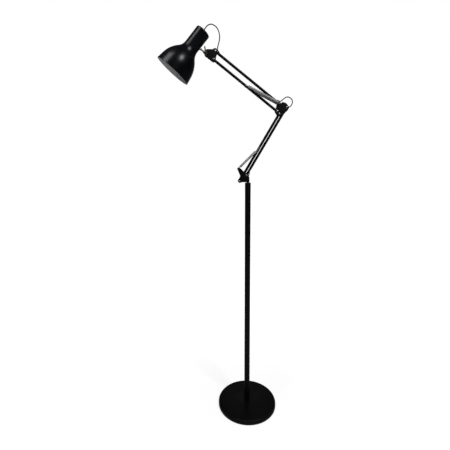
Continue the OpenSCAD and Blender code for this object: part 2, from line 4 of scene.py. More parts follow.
import bpy
import numpy as np
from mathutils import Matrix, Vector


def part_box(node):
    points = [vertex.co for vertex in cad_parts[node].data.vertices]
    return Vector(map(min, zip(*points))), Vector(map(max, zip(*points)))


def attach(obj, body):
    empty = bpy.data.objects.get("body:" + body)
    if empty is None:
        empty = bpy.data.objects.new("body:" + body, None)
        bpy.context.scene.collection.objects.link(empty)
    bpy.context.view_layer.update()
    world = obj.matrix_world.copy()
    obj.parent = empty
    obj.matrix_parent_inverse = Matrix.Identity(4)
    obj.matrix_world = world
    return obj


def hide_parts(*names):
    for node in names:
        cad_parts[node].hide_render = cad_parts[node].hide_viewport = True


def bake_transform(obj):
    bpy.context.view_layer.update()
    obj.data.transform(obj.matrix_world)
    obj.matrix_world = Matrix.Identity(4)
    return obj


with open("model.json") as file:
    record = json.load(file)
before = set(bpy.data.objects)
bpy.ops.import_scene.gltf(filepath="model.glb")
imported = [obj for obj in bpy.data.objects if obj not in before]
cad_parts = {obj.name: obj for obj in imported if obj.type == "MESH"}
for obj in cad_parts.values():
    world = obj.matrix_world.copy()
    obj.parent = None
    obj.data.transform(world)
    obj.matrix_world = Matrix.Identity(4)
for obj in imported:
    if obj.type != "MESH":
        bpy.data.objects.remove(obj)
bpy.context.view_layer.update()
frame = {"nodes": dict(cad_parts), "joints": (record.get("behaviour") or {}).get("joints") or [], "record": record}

scene = bpy.context.scene

# ---- Pivots ----
# The lamp folds in the plane y = 0 about parallel pins. The frame's joints give six
# of them, and the fourth corner of each parallelogram follows from its other three.
pivot = {joint["name"]: np.array(joint["pos_m"], float) for joint in frame["joints"]}
foot_main, foot_link = pivot["lower_arm"], pivot["lower_link_pivot"]
knee_main, elbow_main = pivot["elbow_level"], pivot["upper_arm"]
knee_link = foot_link + knee_main - foot_main
elbow_link, wrist_main = pivot["upper_link_pivot"], pivot["head_level"]
wrist_link = elbow_link + wrist_main - elbow_main
tilt = pivot["head_tilt"]
post_top = pivot["base_swivel"][2]


def unit(v):
    """The vector or vectors at length one."""
    v = np.asarray(v, float)
    return v / np.linalg.norm(v, axis=-1, keepdims=True)


def heading(degrees):
    """The direction in the arm plane that many degrees above +X."""
    return np.array([math.cos(math.radians(degrees)), 0, math.sin(math.radians(degrees))])


lower_dir, upper_dir = unit(knee_main - foot_main), unit(wrist_main - elbow_main)
swivel_axis = next(np.array(j["axis"], float) for j in frame["joints"] if j["name"] == "shade_swivel")
stem_dir = unit(swivel_axis) * (1 if swivel_axis[2] > 0 else -1)
shade_dir = np.array([-stem_dir[2], 0, stem_dir[0]])

# ---- Camera ----
# It stands a little over a metre in front of the arm plane, level with the top of
# the post, and looks slightly down through a wide lens.
camera = bpy.data.objects.new("camera", bpy.data.cameras.new("camera"))
scene.collection.objects.link(camera)
camera.location = (-0.0941, -1.2778, 1.0701)
camera.rotation_euler = (math.radians(81.18), math.radians(0.40), 0)
camera.data.lens = 24.58
camera.data.shift_y = -0.0173
scene.camera = camera

# ---- Studio ----
# A pale matt floor with a painted glow that only the camera sees: weaker near the lamp,
# full white further out, where it fades into an even white surround that the camera also sees
# at full strength; and three soft lights: a key from the upper left, a second from the right
# and a weak one from behind.
scene.view_settings.view_transform = "Standard"
turn = np.linspace(0, 2 * math.pi, 96, endpoint=False)
floor_mesh = bpy.data.meshes.new("studio_floor")
floor_mesh.from_pydata(np.stack([14 * np.cos(turn), 14 * np.sin(turn), 0 * turn], 1).tolist(), [],
                       [list(range(96))])
floor = bpy.data.objects.new("studio_floor", floor_mesh)
scene.collection.objects.link(floor)


def add_node(tree, kind, inputs=None, **settings):
    """A node of that kind with its settings; each input is linked from a socket or set to a value."""
    made = tree.nodes.new(kind)
    for key, value in settings.items():
        setattr(made, key, value)
    for key, value in (inputs or {}).items():
        if isinstance(value, bpy.types.NodeSocket):
            tree.links.new(value, made.inputs[key])
        else:
            made.inputs[key].default_value = value
    return made


def new_material(name):
    """A material with an empty tree but for its Principled shader and output."""
    material = bpy.data.materials.new(name)
    material.use_nodes = True
    material.node_tree.nodes.clear()
    shader = add_node(material.node_tree, "ShaderNodeBsdfPrincipled")
    add_node(material.node_tree, "ShaderNodeOutputMaterial", {"Surface": shader.outputs[0]})
    return material, material.node_tree, shader


floor_finish, tree, shader = new_material("pale_floor")
place = add_node(tree, "ShaderNodeTexCoord").outputs["Object"]
speck = add_node(tree, "ShaderNodeTexNoise", {"Vector": place, "Scale": 3.0, "Detail": 3.0})
floor_tone = add_node(tree, "ShaderNodeMix", {"Factor": speck.outputs[0], "A": (0.84, 0.84, 0.84, 1),
                                              "B": (0.88, 0.88, 0.88, 1)}, data_type="RGBA")
# Painted glow: the floor's emission, for camera rays only, rises from 0.75 near the lamp to 1.0 far off.
away = add_node(tree, "ShaderNodeVectorMath", {0: place}, operation="LENGTH")
fade = add_node(tree, "ShaderNodeMapRange", {"Value": away.outputs["Value"], "From Min": 0.1, "From Max": 1.3,
                                             "To Min": 0.75, "To Max": 1.0}, interpolation_type="SMOOTHSTEP")
seen = add_node(tree, "ShaderNodeLightPath").outputs["Is Camera Ray"]
glow = add_node(tree, "ShaderNodeMath", {0: fade.outputs[0], 1: seen}, operation="MULTIPLY")
tree.links.new(floor_tone.outputs["Result"], shader.inputs["Base Color"])
tree.links.new(glow.outputs[0], shader.inputs["Emission Strength"])
shader.inputs["Emission Color"].default_value = (1, 1, 1, 1)
shader.inputs["Roughness"].default_value = 0.8
floor_mesh.materials.append(floor_finish)

world = bpy.data.worlds.new("studio")
world.use_nodes = True
scene.world = world
sky = world.node_tree
sky.nodes.clear()
seen = add_node(sky, "ShaderNodeLightPath")
strength = add_node(sky, "ShaderNodeMapRange", {"Value": seen.outputs["Is Camera Ray"], "To Min": 0.05, "To Max": 1.0})
shine = add_node(sky, "ShaderNodeBackground", {"Color": (1, 1, 1, 1), "Strength": strength.outputs[0]})
add_node(sky, "ShaderNodeOutputWorld", {"Surface": shine.outputs[0]})


def soft_light(name, place, aim, size, power):
    """A square area light at place, turned to face aim."""
    lamp = bpy.data.lights.new(name, "AREA")
    lamp.energy, lamp.size = power, size
    light = bpy.data.objects.new(name, lamp)
    scene.collection.objects.link(light)
    light.location = place
    direction = unit(np.subtract(aim, place))
    light.rotation_euler = (math.acos(-direction[2]), 0, math.atan2(direction[1], direction[0]) - math.pi / 2)
    return light


soft_light("key_light", (-1.18, -1.04, 3.2), (-0.15, 0, 1.3), 1.0, 12)
soft_light("side_light", (1.17, -1.57, 2.86), (-0.1, 0, 1.3), 0.6, 22)
soft_light("back_light", (0.15, 2.0, 1.75), (0, 0, 0.6), 0.8, 1)

# ---- Surfaces ----
# Every new piece is made of closed shells. A shell is rings of points with a number
# for each ring that says how far the surface bends outwards there, which is where
# paint wears and metal is polished.


def make(name, *shells):
    """One mesh of closed shells, each (rings, bend, loop): rings is (rows, columns, 3), and each
    ring closes on itself. With loop the last ring joins the first, otherwise flat faces close the
    ends. Vertex normals are the sum of the face area vectors round each vertex."""
    points, faces, bends, normals, count = [], [], [], [], 0
    for rings, bend, loop in shells:
        rows, columns = rings.shape[:2]
        index = np.arange(rows * columns).reshape(rows, columns)
        low, high = (index, np.roll(index, -1, 0)) if loop else (index[:-1], index[1:])
        quads = np.stack([low, np.roll(low, -1, 1), np.roll(high, -1, 1), high], -1).reshape(-1, 4)
        flat = rings.reshape(-1, 3)
        a, b, c, d = (flat[quads[:, k]] for k in range(4))
        area = np.cross(c - a, d - b) / 2
        volume = ((a + b + c + d) / 4 * area).sum()
        ends = [] if loop else [index[0][::-1], index[-1]]
        shell_normals = np.zeros_like(flat)
        for k in range(4):
            np.add.at(shell_normals, quads[:, k], area)
        for end in ends:
            rim = flat[end]
            cap = np.cross(rim, np.roll(rim, -1, 0)).sum(0) / 2
            volume += rim.mean(0) @ cap
            shell_normals[end] += cap
        if volume < 0:
            quads, ends, shell_normals = quads[:, ::-1], [end[::-1] for end in ends], -shell_normals
        faces += (quads + count).tolist() + [(end + count).tolist() for end in ends]
        points.append(flat)
        normals.append(unit(shell_normals))
        bends.append(np.broadcast_to(np.asarray(bend, float).reshape(rows, -1), (rows, columns)).ravel())
        count += len(flat)
    mesh = bpy.data.meshes.new(name)
    mesh.from_pydata(np.vstack(points).tolist(), [], faces)
    mesh.attributes.new("bend", "FLOAT", "POINT").data.foreach_set("value", np.concatenate(bends).astype(np.float32))
    mesh.polygons.foreach_set("use_smooth", np.ones(len(faces), bool))
    mesh.normals_split_custom_set_from_vertices(np.vstack(normals).tolist())
    piece = bpy.data.objects.new(name, mesh)
    scene.collection.objects.link(piece)
    return piece


def fit_on(piece, body, material, slot, *nodes):
    """The piece takes its material, stands for those frame nodes and moves with its body."""
    piece.data.materials.append(material)
    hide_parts(*nodes)
    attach(piece, body)


def rounded(corners, steps=5):
    """A closed or open line through corners (x, y, radius): each corner becomes an arc of that
    radius that touches both sides, and a corner with radius 0 stays a point. Rows are
    (x, y, bend), with bend 1 in the middle of an arc that turns outwards and 0 elsewhere."""
    corners = np.array(corners, float)
    p, radius = corners[:, :2], corners[:, 2]
    back, ahead = unit(np.roll(p, 1, 0) - p), unit(np.roll(p, -1, 0) - p)
    half = np.arccos(np.clip((back * ahead).sum(1), -1, 1)) / 2
    centre = p + unit(back + ahead + 1e-12) * (radius / np.maximum(np.sin(half), 1e-6))[:, None]
    start = p + back * (radius / np.maximum(np.tan(half), 1e-6))[:, None] - centre
    sweep = np.sign(ahead[:, 0] * back[:, 1] - ahead[:, 1] * back[:, 0]) * (math.pi - 2 * half)
    t = np.linspace(0, 1, steps + 1)
    angle = sweep[:, None] * t
    x = centre[:, :1] + start[:, :1] * np.cos(angle) - start[:, 1:] * np.sin(angle)
    y = centre[:, 1:] + start[:, :1] * np.sin(angle) + start[:, 1:] * np.cos(angle)
    turned_by = np.sign(np.cross(p - p.mean(0), np.roll(p, -1, 0) - p.mean(0)).sum())
    bend = np.where(np.sign(sweep)[:, None] == turned_by, np.sin(math.pi * t), 0)
    keep = (radius > 0)[:, None] | (t == 0)
    return np.stack([x, y, bend], -1)[keep]


def turned(line, origin, axis, sides=48, loop=False):
    """The shell that a line of (radius, height, bend) rows makes when it turns round an axis."""
    axis = unit(axis)
    side = unit(np.cross(axis, [0.31, 0.87, 0.38]))
    angle = np.linspace(0, 2 * math.pi, sides, endpoint=False)[:, None]
    spoke = side * np.cos(angle) + np.cross(axis, side) * np.sin(angle)
    rings = np.asarray(origin) + line[:, None, 1:2] * axis + line[:, None, :1] * spoke
    return rings, line[:, 2], loop


def pressed(outline, low, high, soft, origin=(0, 0, 0), axes=((1, 0, 0), (0, 0, 1), (0, 1, 0))):
    """A flat plate: its outline in the first two axes, carried from low to high along the third.
    Both rims are quarter rounds, on which the outline moves inwards by soft (1 - sin a)."""
    p = outline[:, :2]
    along = unit(np.roll(p, -1, 0) - np.roll(p, 1, 0))
    inward = np.stack([-along[:, 1], along[:, 0]], -1)
    inward *= np.sign(np.cross(p, np.roll(p, -1, 0)).sum())
    a = np.linspace(0, math.pi / 2, 5)
    inset = soft * (1 - np.sin(a))
    depth = soft * (1 - np.cos(a))
    inset, height = np.r_[inset, inset[::-1]], np.r_[low + depth, high - depth[::-1]]
    flat = p + inset[:, None, None] * inward
    axes = np.array(axes, float)
    rings = (np.asarray(origin) + flat[..., :1] * axes[0] + flat[..., 1:] * axes[1]
             + height[:, None, None] * axes[2])
    return rings, np.r_[np.sin(2 * a), np.sin(2 * a[::-1])], False


def carried(path, radius, sides=16, side_axis=(0, 1, 0)):
    """A round rod: rings of that radius stand square to the path at each of its points."""
    along = unit(np.gradient(path, axis=0))
    across = unit(np.cross(side_axis, along))
    other = np.cross(along, across)
    angle = np.linspace(0, 2 * math.pi, sides, endpoint=False)[:, None]
    rings = path[:, None] + radius * (across[:, None] * np.cos(angle) + other[:, None] * np.sin(angle))
    return rings, np.zeros(len(path)), False


# Effects that several finishes share. Wear shows bare metal where a surface bends
# outwards and a noise is high, grain is the fine unevenness of paint, plating or
# moulding, and dust lies in faint patches.


def new_group(name, inputs):
    """An empty shader group with those number inputs, a Position input and its output node."""
    group = bpy.data.node_groups.new(name, "ShaderNodeTree")
    group.interface.new_socket("Position", in_out="INPUT", socket_type="NodeSocketVector")
    for label in inputs:
        group.interface.new_socket(label, in_out="INPUT", socket_type="NodeSocketFloat")
    return group, group.nodes.new("NodeGroupInput")


worn, inside = new_group("edge_wear", ["Bend", "Amount", "Scale"])
worn.interface.new_socket("Wear", in_out="OUTPUT", socket_type="NodeSocketFloat")
blotch = add_node(worn, "ShaderNodeTexNoise", {"Vector": inside.outputs["Position"], "Scale": inside.outputs["Scale"],
                                               "Detail": 6.0, "Roughness": 0.65})
reach = add_node(worn, "ShaderNodeMath", {0: inside.outputs["Bend"], 1: inside.outputs["Amount"]}, operation="MULTIPLY")
total = add_node(worn, "ShaderNodeMath", {0: reach.outputs[0], 1: blotch.outputs[0]}, operation="ADD")
mask = add_node(worn, "ShaderNodeMapRange", {"Value": total.outputs[0], "From Min": 0.93, "From Max": 1.06},
                interpolation_type="SMOOTHSTEP")
add_node(worn, "NodeGroupOutput", {"Wear": mask.outputs[0]})

grained, inside = new_group("fine_grain", ["Scale", "Patch Scale"])
for label in ("Height", "Patch"):
    grained.interface.new_socket(label, in_out="OUTPUT", socket_type="NodeSocketFloat")
fine = add_node(grained, "ShaderNodeTexNoise", {"Vector": inside.outputs["Position"], "Scale": inside.outputs["Scale"],
                                                "Detail": 3.0, "Roughness": 0.55})
broad = add_node(grained, "ShaderNodeTexNoise", {"Vector": inside.outputs["Position"],
                                                 "Scale": inside.outputs["Patch Scale"], "Detail": 4.0})
patch = add_node(grained, "ShaderNodeMapRange", {"Value": broad.outputs[0], "From Min": 0.35, "From Max": 0.68},
                 interpolation_type="SMOOTHSTEP")
add_node(grained, "NodeGroupOutput", {"Height": fine.outputs[0], "Patch": patch.outputs[0]})


def finish(name, colour, dusty, metallic, rough, grain, depth, wear=0.0, bare=(0.40, 0.40, 0.41), patches=24.0,
           shine=0.5):
    """A procedural finish: colour drifts to dusty in patches, which are also rougher, a grain of
    that scale and depth is its relief, and with wear its outward bends show the bare metal."""
    material, tree, shader = new_material(name)
    place = add_node(tree, "ShaderNodeTexCoord").outputs["Object"]
    grain_node = add_node(tree, "ShaderNodeGroup", node_tree=grained)
    tree.links.new(place, grain_node.inputs["Position"])
    grain_node.inputs["Scale"].default_value = grain
    grain_node.inputs["Patch Scale"].default_value = patches
    height, area = grain_node.outputs["Height"], grain_node.outputs["Patch"]
    tone = add_node(tree, "ShaderNodeMix", {"Factor": area, "A": (*colour, 1), "B": (*dusty, 1)}, data_type="RGBA")
    gloss = add_node(tree, "ShaderNodeMapRange", {"Value": area, "To Min": rough[0], "To Max": rough[1]})
    base, roughness = tone.outputs["Result"], gloss.outputs[0]
    if wear:
        bend = add_node(tree, "ShaderNodeAttribute", attribute_name="bend")
        wear_node = add_node(tree, "ShaderNodeGroup", node_tree=worn)
        tree.links.new(place, wear_node.inputs["Position"])
        tree.links.new(bend.outputs["Fac"], wear_node.inputs["Bend"])
        wear_node.inputs["Amount"].default_value = wear
        wear_node.inputs["Scale"].default_value = 160.0
        mask = wear_node.outputs["Wear"]
        worn_tone = add_node(tree, "ShaderNodeMix", {"Factor": mask, "A": base, "B": (*bare, 1)}, data_type="RGBA")
        base = worn_tone.outputs["Result"]
        tree.links.new(mask, shader.inputs["Metallic"])
    else:
        shader.inputs["Metallic"].default_value = metallic
    relief = add_node(tree, "ShaderNodeBump", {"Height": height, "Strength": 0.6, "Distance": depth})
    tree.links.new(base, shader.inputs["Base Color"])
    tree.links.new(roughness, shader.inputs["Roughness"])
    tree.links.new(relief.outputs[0], shader.inputs["Normal"])
    shader.inputs["Specular IOR Level"].default_value = shine
    return material


# ---- Lead ----
# One round two-core lead with a matt black sheath runs from the swivel's foot
# through both main rods to the lampholder. It hangs in open loops at the foot, the elbow and
# the head, which are drawn in the rest pose and follow no body, and rides inside the rods between them.
lead_radius = 0.002
sheath = finish("lead_sheath", (0.008, 0.008, 0.008), (0.014, 0.014, 0.014), 0.0, (0.48, 0.6), 700, 0.00002,
                shine=0.3)


def smooth_route(points, steps=6):
    """Points on the cubic through each four given points in turn, where the slope at a point is
    half the step between its two neighbours."""
    p = np.vstack([points[:1], points, points[-1:]])
    t = np.linspace(0, 1, steps, endpoint=False)[None, :, None]
    a, b, c, d = (p[k:len(p) - 3 + k, None] for k in range(4))
    line = b + (c - a) * t / 2 + (2 * a - 5 * b + 4 * c - d) * t ** 2 / 2 + (3 * b - a - 3 * c + d) * t ** 3 / 2
    return np.vstack([line.reshape(-1, p.shape[1]), p[-1:]])


def beside(place, *steps):
    """Points in the arm plane at steps (x, z) in millimetres from a place."""
    return [place + np.array([x, 0, z]) / 1000 for x, z in steps]


slot_route = np.array([[4, 8.4], [9, 7.5], [15, 5], [21, 2.2], [27, 0.5], [32, 0]]) / 1000


def into_rod(end, along):
    """The lead from outside a rod's end to its axis: along the rod, and out on its lower right side."""
    out = np.array([along[2], 0, -along[0]])
    return list(end + slot_route[:, :1] * along + slot_route[:, 1:] * out)


def out_of_rod(end, along):
    """The same path at a rod's far end, from its axis outwards."""
    out = np.array([along[2], 0, -along[0]])
    return list(end - slot_route[::-1, :1] * along + slot_route[::-1, 1:] * out)


foot_top = np.array([0, 0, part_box("bracket_foot")[1][2]])
stem_reach, stem_from_back, grip_length = 0.058, 0.056, 0.0035
cap_back = tilt + stem_reach * stem_dir - stem_from_back * shade_dir
grip_end = cap_back - grip_length * shade_dir
lower_right = np.array([lower_dir[2], 0, -lower_dir[0]])
base_points = (beside(foot_top, (0, 0.3), (0.3, 3.5)) + [foot_main + 0.001 * lower_dir + 0.0085 * lower_right]
               + into_rod(foot_main, lower_dir))
elbow_points = (out_of_rod(knee_main, lower_dir)
                + beside(knee_main, (10.5, 1.5), (19, 8.5), (24, 19), (22.5, 30), (15.5, 37.5))
                + beside(elbow_main, (33.5, 25), (22.5, 20.5), (12.5, 13), (6.5, 8.5)) + into_rod(elbow_main, upper_dir))
head_points = (out_of_rod(wrist_main, upper_dir)
               + beside(wrist_main, (8.4, 10.8), (11, 22), (16, 41), (17, 56), (13, 73), (4, 88), (-14, 97.5),
                        (-29, 93)) + beside(grip_end, (2.6, 5.4)) + [grip_end])
base_line, elbow_line, head_line = (smooth_route(np.array(p)) for p in (base_points, elbow_points, head_points))


def lead_piece(name, line, node):
    """A stretch of the lead, which stands for one frame node."""
    piece = make(name, carried(line, lead_radius))
    piece.data.materials.append(sheath)
    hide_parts(node)
    return piece


def part_of(line, first, last):
    """The stretch of a smooth route between two of the points it was drawn through."""
    return line[first * 6:last * 6 + 1]


elbow_ends = len(elbow_points) - 6
corner = np.linspace(0, math.pi / 2, 9)
inlet, turn_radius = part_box("cord_gland")[1][1], 0.008
lead_height = (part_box("cord_gland")[0][2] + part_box("cord_gland")[1][2]) / 2
stand_line = np.vstack([
    [[0, inlet, lead_height]],
    np.stack([0 * corner, turn_radius * (1 - np.sin(corner)), lead_height + turn_radius * (1 - np.cos(corner))], 1),
    [[0, 0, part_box("stand_cord")[1][2]]]])
stand_shell = make("lead_in_post", carried(stand_line, lead_radius, side_axis=(1, 0, 0)))
fit_on(stand_shell, "stand", sheath, "lead_sheath", "stand_cord")
swivel_line = np.array([[0, 0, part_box("swivel_cord")[0][2]], foot_top - [0, 0, 0.01], foot_top])
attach(lead_piece("lead_in_spigot", swivel_line, "swivel_cord"), "swivel")
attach(lead_piece("lead_in_lower_arm", np.vstack([part_of(base_line, 3, 8), part_of(elbow_line, 0, 5)]),
                   "lower_cord"), "lower_main")
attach(lead_piece("lead_in_upper_arm", np.vstack([part_of(elbow_line, elbow_ends, elbow_ends + 5),
                                                   part_of(head_line, 0, 5)]), "upper_cord"), "upper_main")

for name, line, node, bodies in (
    ("lead_at_foot", part_of(base_line, 0, 3), "base_cord", ("swivel", "lower_main")),
    ("lead_loop_knee", part_of(elbow_line, 5, 11), "elbow_cord_a", ("lower_main", "elbow")),
    ("lead_loop_elbow", part_of(elbow_line, 11, elbow_ends), "elbow_cord_b", ("elbow", "upper_main")),
    ("lead_loop_wrist", part_of(head_line, 5, 8), "head_cord_a", ("upper_main", "head")),
    ("lead_loop_top", part_of(head_line, 8, 11), "head_cord_b", ("head", "tilt_block")),
    ("lead_loop_cap", np.vstack([part_of(head_line, 11, 15), [cap_back + 0.014 * shade_dir]]), "head_cord_c",
     ("tilt_block", "shade")),
):
    piece = lead_piece(name, line, node)
    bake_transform(piece)

# ---- Stand ----
# The base is a domed disc of pressed steel over a cast iron ballast, with a rolled
# shoulder and a satin black powder coat. The post is a straight steel tube in the
# same coat, bolted to the base from below, with a nylon bush in its top.
coat = finish("black_paint", (0.0012, 0.0012, 0.0013), (0.0022, 0.0022, 0.0023), 0.0, (0.42, 0.55), 900, 0.00003,
              wear=0.2, bare=(0.30, 0.30, 0.31), shine=0.25)

base_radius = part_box("base_cover")[1][0]
base_top, base_shoulder, base_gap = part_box("base_cover")[1][2], 0.020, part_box("base_cover")[0][2]
shoulder_radius, sheet = 0.008, 0.0015


def dome(radius, top, lip, edge, low):
    """Half the dome's section, from its rim up and in to the axis: an arc from the upright wall
    to the slope, then a parabola that falls by the rise at the start of the arc."""
    rise = top - lip
    lean = math.atan(2 * rise / (radius - edge))
    reach = radius - edge + edge * math.sin(lean)
    middle = lip - edge * math.cos(lean)
    k = np.linspace(0, math.pi / 2 - lean, 12)
    arc = np.stack([radius - edge + edge * np.cos(k), middle + edge * np.sin(k), np.sin(2 * k)], 1)
    x = reach * (1 - np.linspace(0, 1, 26)[1:])
    slope = np.stack([np.maximum(x, 0.0053), top - rise * (x / reach) ** 2, 0 * x], 1)
    return np.vstack([[[radius, low, 0]], arc, slope])


outer = dome(base_radius, base_top, base_shoulder, shoulder_radius, base_gap + 0.0004)
inner = dome(base_radius - sheet, base_top - sheet, base_shoulder - sheet, shoulder_radius - sheet, base_gap + 0.0004)
hem = rounded([[base_radius - sheet, base_gap + 0.0004, 0], [base_radius - sheet, base_gap, 0.0004],
               [base_radius, base_gap, 0.0004], [base_radius, base_gap + 0.0004, 0]])[1:-1]
cover = make("base_cover_pressing", turned(np.vstack([hem, outer, inner[::-1]]), (0, 0, 0), (0, 0, 1), 160, loop=True))
fit_on(cover, "stand", coat, "black_paint", "base_cover")

post_low, post_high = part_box("post")[0][2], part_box("post")[1][2]
post_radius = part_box("post")[1][0]
tube = rounded([[post_radius - 0.0015, post_low, 0.0003], [post_radius, post_low, 0.0003],
                [post_radius, post_high, 0.0004], [post_radius - 0.0015, post_high, 0.0003]])
fit_on(make("post_tube", turned(tube, (0, 0, 0), (0, 0, 1), 64, loop=True)), "stand", coat, "black_paint", "post")

nylon = finish("black_nylon", (0.02, 0.02, 0.021), (0.032, 0.032, 0.033), 0.0, (0.42, 0.55), 500, 0.00004)
bush_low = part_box("post_bush")[0][2]
bush_radius = post_radius - 0.00152
bush = rounded([[0.00455, bush_low, 0.0003], [bush_radius, bush_low, 0.0005], [bush_radius, post_high, 0],
                [post_radius, post_high, 0.0002], [post_radius, post_top - 0.001, 0.0005],
                [post_radius - 0.001, post_top, 0.0005], [0.00455, post_top, 0.0003]])
fit_on(make("post_top_bush", turned(bush, (0, 0, 0), (0, 0, 1), 64, loop=True)), "stand", nylon, "black_nylon",
       "post_bush")

# The lead enters the back of the base through a grooved rubber grommet.
rubber = finish("black_rubber", (0.015, 0.015, 0.015), (0.03, 0.03, 0.03), 0.0, (0.6, 0.75), 600, 0.00004)
gland_out = inlet - base_radius
grommet = rounded([[0.00202, -0.0031, 0.0003], [0.0045, -0.0031, 0.0006], [0.0045, -0.0018, 0.0005],
                   [0.00348, -0.0018, 0.0002], [0.00348, 0.00012, 0.0002], [0.005, 0.00012, 0.0004],
                   [0.005, gland_out * 0.5, 0.0006], [0.0036, gland_out, 0.0005], [0.00202, gland_out, 0.0003]])
fit_on(make("inlet_grommet", turned(grommet, (0, base_radius, lead_height), (0, 1, 0), 40, loop=True)), "stand",
       rubber, "black_rubber", "cord_gland")

# ---- Swivel and brackets ----
# Each bracket is a pair of pressed steel plates in the same black coat, held apart
# by the rods between them and riveted through. The lower pair turns on the post by
# a steel spigot that is pressed into a small block.
zinc = finish("bright_steel", (0.55, 0.55, 0.56), (0.44, 0.44, 0.45), 1.0, (0.26, 0.42), 1400, 0.00001, patches=120.0)
plain_steel = finish("zinc_steel", (0.50, 0.51, 0.52), (0.40, 0.41, 0.43), 1.0, (0.3, 0.5), 1100, 0.00002,
                     patches=90.0)
blued = finish("black_oxide_steel", (0.02, 0.02, 0.022), (0.032, 0.031, 0.032), 0.8, (0.36, 0.5), 900, 0.00002)
plate_in, plate_out = abs(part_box("base_plate_rear")[0][1]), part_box("base_plate_rear")[1][1]
pin_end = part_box("horn_pins")[1][1]
horn = np.array([-0.006, 0, 0.0505]) + foot_link


def lobe(place, x, z, radius):
    """An outline's corner at a step (x, z) from a place, all in millimetres but the place."""
    return [place[0] + x / 1000, place[2] + z / 1000, radius / 1000]


foot_low = np.array([foot_main[0], 0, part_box("bracket_foot")[0][2]])
base_outline = [lobe(horn, -6, 6, 5), lobe(horn, 5, 5.5, 4), lobe(foot_main, -9, 13, 8), lobe(foot_main, 1, 8.5, 6),
                lobe(foot_main, 8, 0, 6), lobe(foot_main, 11.5, -9, 5), lobe(foot_low, 11.5, 0, 2),
                lobe(foot_link, 8, -4, 4), lobe(foot_link, -1, -7.5, 5), lobe(foot_link, -8.5, 1, 5),
                lobe(foot_link, 3.5, 20, 8)]
elbow_outline = [lobe(elbow_main, -8, -1, 6), lobe(elbow_main, -2, 7, 5), lobe(elbow_main, 6, 1, 3),
                 lobe(elbow_main, 8, -1.5, 2), lobe(elbow_main, 12, 4.5, 3), lobe(elbow_main, 27, 0.5, 5),
                 lobe(knee_main, 9.5, 1.5, 6), lobe(knee_main, 4, -8.5, 6), lobe(knee_main, -8, -23.5, 8),
                 lobe(knee_link, 4, -9, 6), lobe(knee_link, -9, -3.5, 5), lobe(elbow_link, -8.5, -1, 5),
                 lobe(elbow_link, -4.5, 9, 8)]
head_outline = [lobe(tilt, -6.5, 2, 5), lobe(tilt, 4, 13, 7), lobe(wrist_main, -9, 5, 5), lobe(wrist_main, -3, 9.5, 5),
                lobe(wrist_main, 7, 6.5, 5), lobe(wrist_main, 6.5, -6, 6), lobe(wrist_link, 9, 8, 8),
                lobe(wrist_link, 8, -5, 5), lobe(wrist_link, -1.5, -9.5, 5), lobe(tilt, -5, -6.5, 5)]
for part, body, outline in (("base", "swivel", base_outline), ("elbow", "elbow", elbow_outline),
                            ("head", "head", head_outline)):
    for side, sign in (("front", -1), ("rear", 1)):
        plate = make(f"{part}_bracket_{side}", pressed(rounded(outline), sign * plate_in, sign * plate_out,
                                                       sign * 0.0004))
        fit_on(plate, body, coat, "black_paint", f"{part}_plate_{side}")


def pin_line(*heads):
    """Half a pin's section from its middle outwards, then mirrored, as rows of (radius, height, bend)."""
    half = rounded(heads)
    return np.vstack([half[::-1] * [1, -1, 1], half])


shank, head_radius, rise = 0.002, 0.004, 0.002
dome_angle = np.linspace(math.radians(72), math.radians(4), 9)
rivet_half = np.vstack([[[shank, 0.0001, 0], [shank, plate_out - 0.0001, 0], [head_radius - 0.0004, plate_out, 0],
                         [head_radius, plate_out + 0.0003, 0.6]],
                        np.stack([head_radius * 0.98 * np.sin(dome_angle), plate_out + 0.0003 + (rise - 0.0003)
                                  * np.cos(dome_angle), 0.4 + 0 * dome_angle], 1)])
rivet_line = np.vstack([rivet_half[::-1] * [1, -1, 1], rivet_half])
for name, body, places, node in (
    ("base_rivet_set", "swivel", (foot_link, foot_main), "base_rivets"),
    ("elbow_rivet_set", "elbow", (knee_link, knee_main, elbow_link), "elbow_rivets"),
    ("head_rivet_set", "head", (wrist_link, wrist_main), "head_rivets"),
):
    fit_on(make(name, *(turned(rivet_line, place, (0, 1, 0), 40) for place in places)), body, zinc, "bright_steel",
           node)

tip = [[shank, pin_end - 0.001, 0], [shank + 0.001, pin_end - 0.001, 0.0002], [shank + 0.001, pin_end, 0.0004],
       [0.0006, pin_end, 0]]
long_pin = pin_line([shank, 0.0001, 0], *tip)
stud = rounded([[0.0006, plate_in + 0.00002, 0], [shank, plate_in + 0.00002, 0.0002], [shank, plate_out, 0],
                [0.004, plate_out, 0.0003], [0.004, plate_out + 0.001, 0.0004], [shank, plate_out + 0.001, 0], *tip])
lower_hook = np.array([sum(c) / 2 for c in zip(*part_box("lower_spring_pin"))])
upper_hook = np.array([sum(c) / 2 for c in zip(*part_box("upper_spring_pin"))])
fit_on(make("horn_stud_pair", turned(stud, horn, (0, 1, 0)), turned(stud, horn, (0, -1, 0))), "swivel", blued,
       "black_oxide_steel", "horn_pins")
for name, body, place, node in (("elbow_spring_pin", "elbow", elbow_main, "elbow_pin"),
                                ("lower_hook_pin", "lower_link", lower_hook, "lower_spring_pin"),
                                ("upper_hook_pin", "upper_link", upper_hook, "upper_spring_pin")):
    fit_on(make(name, turned(long_pin, place, (0, 1, 0))), body, zinc, "bright_steel", node)

